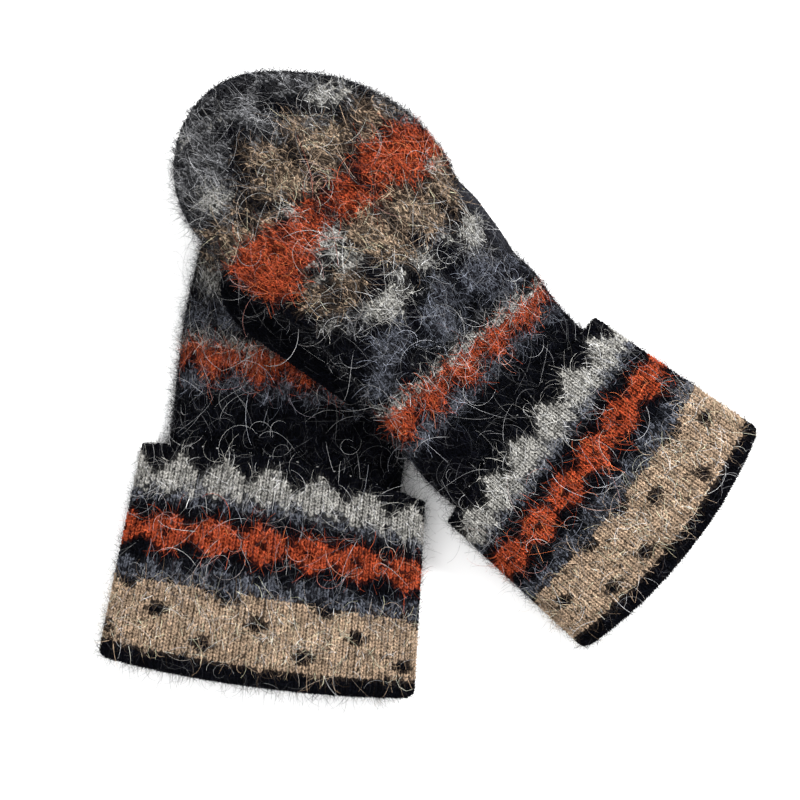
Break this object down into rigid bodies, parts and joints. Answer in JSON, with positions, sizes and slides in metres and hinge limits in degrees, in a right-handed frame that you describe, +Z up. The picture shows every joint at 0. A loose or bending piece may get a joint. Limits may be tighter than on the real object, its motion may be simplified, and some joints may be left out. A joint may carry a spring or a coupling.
{
  "type": "pair of knitted mittens",
  "caption": "Pair of lined wool mittens with patterned backs, dark thumbs and turned-up cuffs, lying one across the other.",
  "frame": {"origin": "middle of the footprint of the crossed pair, on the surface they lie on", "axes": "+Z up, +Y towards the fingertips of the lower mitten, +X towards the cuff of the upper one"},
  "size_m": [0.2785, 0.27, 0.0681],
  "materials": {
    "patterned_wool": "brushed wool knit, navy-black with grey, cream, sand and rust motifs",
    "dark_wool": "brushed navy-black wool knit",
    "cuff_wool": "brushed wool knit, banded sand, grey, rust and cream with a black fold",
    "light_thread": "pale sewing thread",
    "fleece": "short-pile dark fleece"
  },
  "bodies": {
    "lower_mitten": {"left_back_panel": "patterned_wool", "left_palm_panel": "dark_wool", "left_side_seam": "dark_wool", "left_turned_cuff": "cuff_wool", "left_cuff_stitches": "light_thread", "left_thumb_gusset": "dark_wool", "left_lining_back": "fleece", "left_lining_palm": "fleece", "left_gusset_lining": "fleece"},
    "left_thumb_swing": {"left_thumb": "dark_wool", "left_thumb_lining": "fleece"},
    "upper_mitten": {"right_back_panel": "patterned_wool", "right_palm_panel": "dark_wool", "right_side_seam": "dark_wool", "right_turned_cuff": "cuff_wool", "right_cuff_stitches": "light_thread", "right_thumb_gusset": "dark_wool", "right_lining_back": "fleece", "right_lining_palm": "fleece", "right_gusset_lining": "fleece"},
    "right_thumb_swing": {"right_thumb": "dark_wool", "right_thumb_lining": "fleece"}
  },
  "joints": [
    {"name": "lifting_off", "type": "slide", "parent": "lower_mitten", "child": "upper_mitten", "axis": [0, 0, 1], "range_m": [0, 0.12]},
    {"name": "left_thumb_bend", "type": "hinge", "parent": "lower_mitten", "child": "left_thumb_swing", "pos_m": [-0.01388, 0.03189, 0.0068], "axis": [0, 0, 1], "range_deg": [-20, 0]},
    {"name": "right_thumb_bend", "type": "hinge", "parent": "upper_mitten", "child": "right_thumb_swing", "pos_m": [-0.03838, 0.01729, 0.0388], "axis": [0, 0, 1], "range_deg": [0, 20]}
  ]
}
